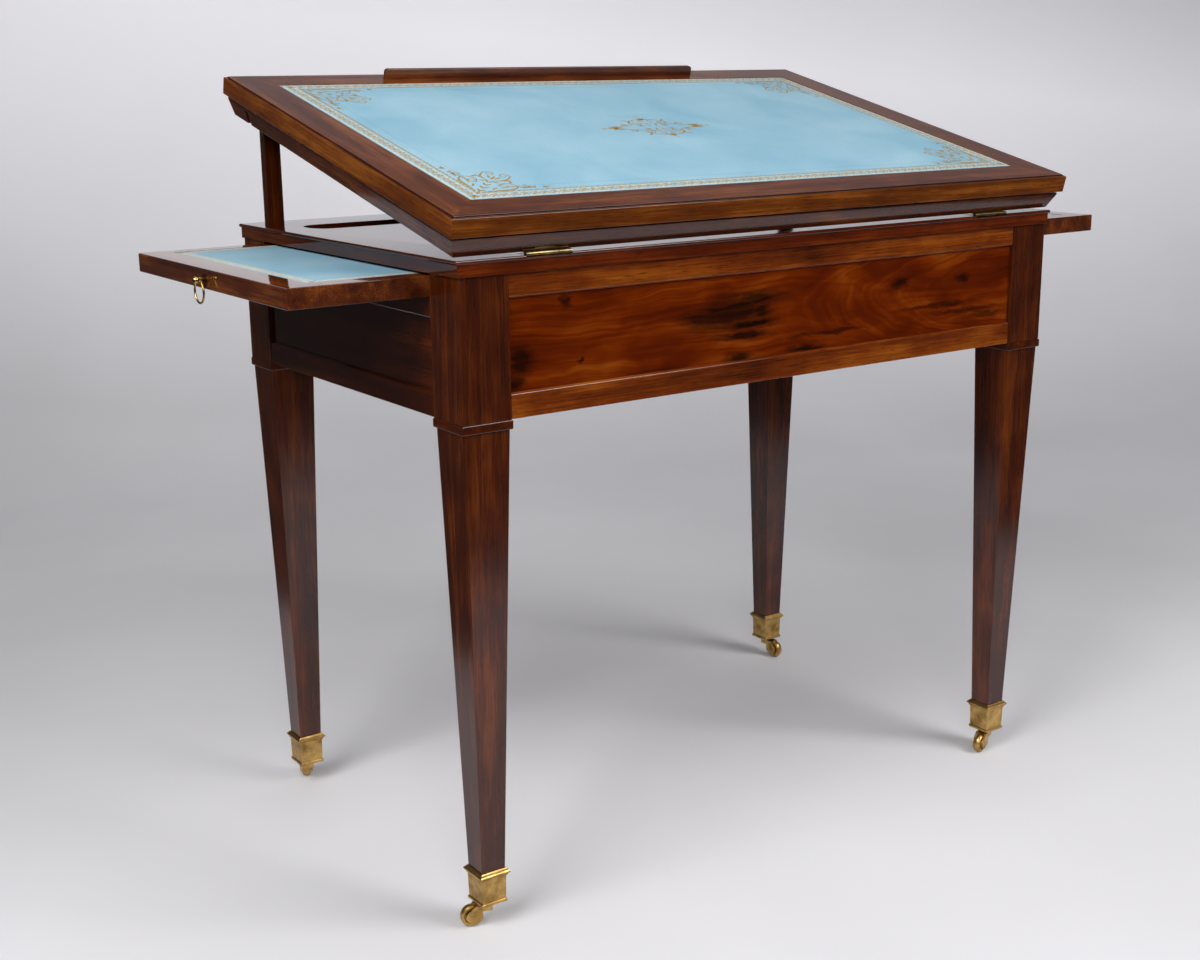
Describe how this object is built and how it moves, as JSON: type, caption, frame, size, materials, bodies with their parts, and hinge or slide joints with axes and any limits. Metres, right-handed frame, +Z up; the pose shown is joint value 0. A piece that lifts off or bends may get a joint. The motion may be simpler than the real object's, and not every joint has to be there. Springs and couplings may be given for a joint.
{
  "type": "architect table",
  "caption": "Architect's writing table: tilting leather-lined leaf on rising posts, with a book ledge, pull-out side slides, a sunk pen tray and tapered legs on brass casters.",
  "frame": {"origin": "on the floor under the middle of the carcass", "axes": "+Z up, +X to the sitter's right, +Y to the back; the sitter is at -Y"},
  "size_m": [1.2116, 0.5383, 0.9175],
  "materials": {
    "mahogany": "French polished, glossy",
    "inner_wood": "plain planed",
    "blue_leather": "smooth, gold tooled",
    "aged_brass": "aged, satin",
    "brass": "polished"
  },
  "bodies": {
    "carcass": {"leg_collars": "mahogany", "leg_shoes": "aged_brass", "carcass_top": "mahogany", "leg_front_left": "mahogany", "leg_front_right": "mahogany", "leg_back_left": "mahogany", "leg_back_right": "mahogany", "front_top_rail": "mahogany", "front_bottom_rail": "mahogany", "front_panel": "mahogany", "back_top_rail": "mahogany", "back_bottom_rail": "mahogany", "back_panel": "mahogany", "slide_runners": "inner_wood", "slide_stop": "inner_wood", "left_top_rail": "mahogany", "left_bottom_rail": "mahogany", "left_panel": "mahogany", "right_top_rail": "mahogany", "right_bottom_rail": "mahogany", "right_panel": "mahogany", "hinge_plates_fixed": "brass", "hinge_pins": "brass"},
    "leaf": {"underframe_front": "mahogany", "underframe_back": "mahogany", "underframe_left": "mahogany", "underframe_right": "mahogany", "border_front": "mahogany", "border_back": "mahogany", "border_left": "mahogany", "border_right": "mahogany", "leaf_core": "inner_wood", "leaf_leather": "blue_leather", "hinge_plates_leaf": "brass"},
    "book_ledge": {"book_ledge": "mahogany"},
    "post_left": {"post_left": "mahogany", "post_plate_left": "brass"},
    "slide_left": {"slide_left": "mahogany", "slide_leather_left": "blue_leather", "pull_knob_left": "brass"},
    "ring_left": {"pull_ring_left": "brass"},
    "post_right": {"post_right": "mahogany", "post_plate_right": "brass"},
    "slide_right": {"slide_right": "mahogany", "slide_leather_right": "blue_leather", "pull_knob_right": "brass"},
    "ring_right": {"pull_ring_right": "brass"},
    "caster_front_left": {"fork_front_left": "aged_brass", "axle_front_left": "aged_brass"},
    "wheel_front_left": {"wheel_front_left": "aged_brass"},
    "caster_front_right": {"fork_front_right": "aged_brass", "axle_front_right": "aged_brass"},
    "wheel_front_right": {"wheel_front_right": "aged_brass"},
    "caster_back_left": {"fork_back_left": "aged_brass", "axle_back_left": "aged_brass"},
    "wheel_back_left": {"wheel_back_left": "aged_brass"},
    "caster_back_right": {"fork_back_right": "aged_brass", "axle_back_right": "aged_brass"},
    "wheel_back_right": {"wheel_back_right": "aged_brass"}
  },
  "joints": [
    {"name": "leaf_tilt", "type": "hinge", "parent": "carcass", "child": "leaf", "pos_m": [0, -0.2596, 0.7358], "axis": [1, 0, 0], "range_deg": [-14, 0]},
    {"name": "ledge_slide", "type": "slide", "parent": "leaf", "child": "book_ledge", "axis": [0, -0.2419, 0.9703], "range_m": [-0.0118, 0]},
    {"name": "post_left_rise", "type": "slide", "parent": "carcass", "child": "post_left", "axis": [0, 0, 1], "range_m": [-0.1223, 0]},
    {"name": "slide_left_draw", "type": "slide", "parent": "carcass", "child": "slide_left", "axis": [-1, 0, 0], "range_m": [-0.155, 0.12]},
    {"name": "ring_left_swing", "type": "hinge", "parent": "slide_left", "child": "ring_left", "pos_m": [-0.5924, 0, 0.7046], "axis": [0, 1, 0], "range_deg": [-10, 85]},
    {"name": "post_right_rise", "type": "slide", "parent": "carcass", "child": "post_right", "axis": [0, 0, 1], "range_m": [-0.1223, 0]},
    {"name": "slide_right_draw", "type": "slide", "parent": "carcass", "child": "slide_right", "axis": [1, 0, 0], "range_m": [-0.168, 0.107]},
    {"name": "ring_right_swing", "type": "hinge", "parent": "slide_right", "child": "ring_right", "pos_m": [0.6054, 0, 0.7046], "axis": [0, -1, 0], "range_deg": [-10, 85]},
    {"name": "caster_front_left_swivel", "type": "hinge", "parent": "carcass", "child": "caster_front_left", "pos_m": [-0.401, -0.2295, 0.025], "axis": [0, 0, 1], "continuous": true},
    {"name": "wheel_front_left_roll", "type": "hinge", "parent": "caster_front_left", "child": "wheel_front_left", "pos_m": [-0.41838, -0.22317, 0.0128], "axis": [-0.342, -0.9397, 0], "continuous": true},
    {"name": "caster_front_right_swivel", "type": "hinge", "parent": "carcass", "child": "caster_front_right", "pos_m": [0.401, -0.2295, 0.025], "axis": [0, 0, 1], "continuous": true},
    {"name": "wheel_front_right_roll", "type": "hinge", "parent": "caster_front_right", "child": "wheel_front_right", "pos_m": [0.38362, -0.23583, 0.0128], "axis": [0.342, -0.9397, 0], "continuous": true},
    {"name": "caster_back_left_swivel", "type": "hinge", "parent": "carcass", "child": "caster_back_left", "pos_m": [-0.401, 0.2295, 0.025], "axis": [0, 0, 1], "continuous": true},
    {"name": "wheel_back_left_roll", "type": "hinge", "parent": "caster_back_left", "child": "wheel_back_left", "pos_m": [-0.39621, 0.24737, 0.0128], "axis": [-0.9659, 0.2588, 0], "continuous": true},
    {"name": "caster_back_right_swivel", "type": "hinge", "parent": "carcass", "child": "caster_back_right", "pos_m": [0.401, 0.2295, 0.025], "axis": [0, 0, 1], "continuous": true},
    {"name": "wheel_back_right_roll", "type": "hinge", "parent": "caster_back_right", "child": "wheel_back_right", "pos_m": [0.40261, 0.21107, 0.0128], "axis": [0.9962, 0.0872, 0], "continuous": true}
  ],
  "couplings": [
    {"joint": "post_left_rise", "follows": "leaf_tilt", "m_per_rad": 0.49985},
    {"joint": "post_right_rise", "follows": "leaf_tilt", "m_per_rad": 0.49985}
  ]
}
